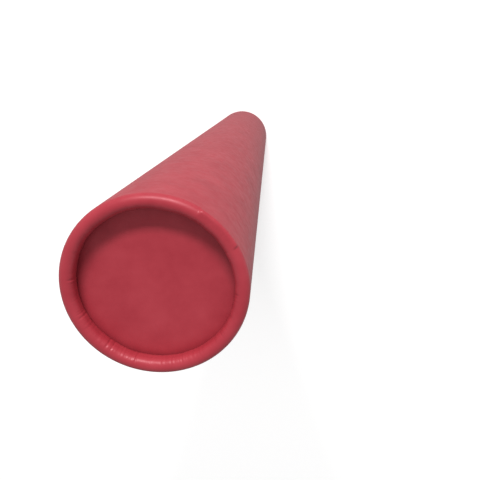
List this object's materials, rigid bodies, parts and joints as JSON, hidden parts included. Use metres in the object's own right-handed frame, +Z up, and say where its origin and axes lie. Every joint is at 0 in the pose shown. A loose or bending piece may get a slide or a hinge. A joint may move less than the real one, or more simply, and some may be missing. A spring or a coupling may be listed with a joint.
{
  "type": "cardboard mailing tube",
  "caption": "Straight round cardboard mailing tube with a red paper cover and white lining: one end closed by a disc behind a rolled rim, the other a cut open mouth.",
  "frame": {"origin": "centre of the cut foot, which is the open mouth that the tube stands on", "axes": "+Z up along the tube's axis, from the open mouth to the closed end with its rolled rim; X and Y are alike"},
  "size_m": [0.05, 0.05, 0.4],
  "materials": {
    "cover_paper": "satin",
    "board": "matte",
    "liner_paper": "matte",
    "disc_paper": "satin"
  },
  "bodies": {
    "root": {"cover_paper": "cover_paper", "board_tube": "board", "liner_paper": "liner_paper", "end_disc": "disc_paper"}
  },
  "joints": []
}
